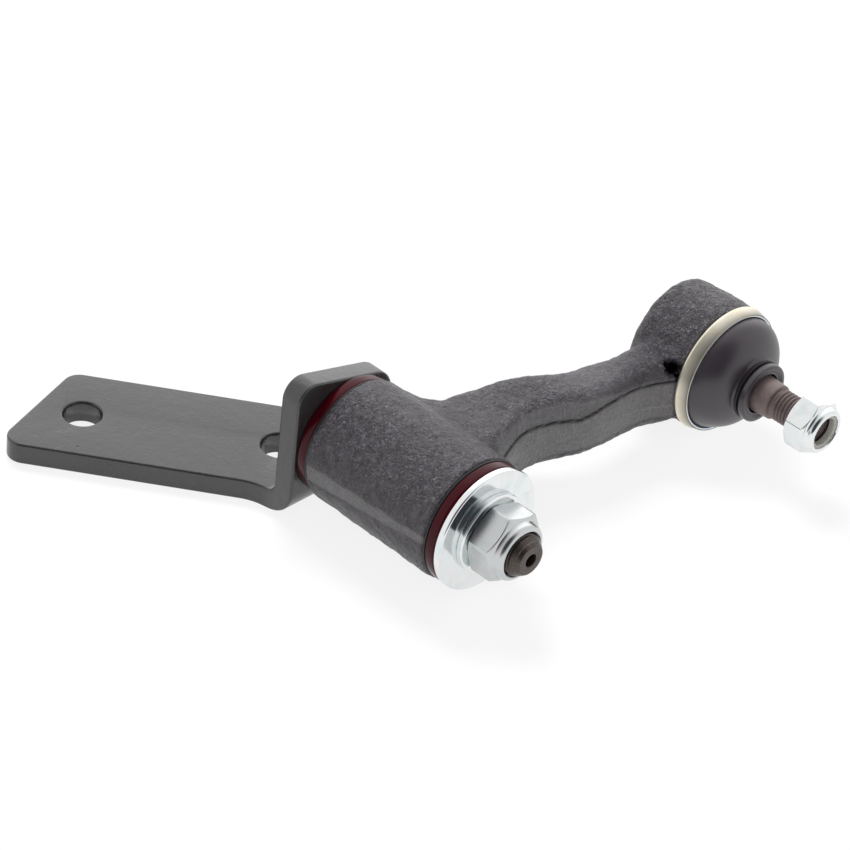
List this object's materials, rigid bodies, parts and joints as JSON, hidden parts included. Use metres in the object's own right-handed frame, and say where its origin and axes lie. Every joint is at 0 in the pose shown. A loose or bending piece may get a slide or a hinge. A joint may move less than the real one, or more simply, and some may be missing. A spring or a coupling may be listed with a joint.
{
  "type": "steering idler arm",
  "caption": "Steering idler arm: a forged arm turns on a bushed shaft riveted to an angled bracket, and carries a booted ball stud with a lock nut.",
  "frame": {"origin": "midway between the two frame bolt holes, on the bracket leg's mounting face", "axes": "+Z leaves the chassis, square to the mounting face; -Y is forward along the pivot axis; +X runs out along the arm at rest"},
  "size_m": [0.2357, 0.2096, 0.0561],
  "materials": {
    "bracket_paint": "dark grey coating, semi-gloss",
    "dark_steel": "dark oiled steel",
    "bush_red": "dark red nylon, glossy",
    "black_rubber": "matte black rubber",
    "bright_zinc": "bright zinc plate with faint tints",
    "blue_nylon": "dark blue nylon",
    "forging": "rough dark forged scale",
    "phosphate_steel": "brown-grey phosphate",
    "seat_plastic": "natural acetal",
    "boot_rubber": "satin black rubber",
    "yellow_zinc": "pale yellow zinc plate",
    "beige_nylon": "beige-grey nylon"
  },
  "bodies": {
    "bracket": {"bracket_plate": "bracket_paint", "pivot_shaft": "dark_steel", "large_washer": "bright_zinc", "small_washer": "bright_zinc", "pivot_nut": "bright_zinc", "pivot_nut_insert": "blue_nylon"},
    "arm": {"idler_arm": "forging", "rear_bush": "bush_red", "front_bush": "bush_red", "rear_seal": "black_rubber", "front_seal": "black_rubber", "preload_pad": "black_rubber", "rear_seat": "seat_plastic", "front_seat": "seat_plastic", "seat_retainer": "dark_steel", "dust_boot": "boot_rubber", "boot_ring": "yellow_zinc"},
    "boot_neck": {"boot_clip": "dark_steel"},
    "stud": {"ball_stud": "phosphate_steel", "link_nut": "bright_zinc", "link_nut_insert": "beige_nylon"}
  },
  "joints": [
    {"name": "arm_pivot", "type": "hinge", "parent": "bracket", "child": "arm", "pos_m": [0.0245, -0.0888, 0.0289], "axis": [0, 1, 0], "range_deg": [-40, 40]},
    {"name": "stud_tilt", "type": "hinge", "parent": "arm", "child": "boot_neck", "pos_m": [0.1595, -0.101, 0.0293], "axis": [1, 0, 0], "range_deg": [-18, 18], "deforming": ["dust_boot"]},
    {"name": "stud_spin", "type": "hinge", "parent": "boot_neck", "child": "stud", "pos_m": [0.1595, -0.101, 0.0293], "axis": [0, 1, 0], "continuous": true}
  ]
}
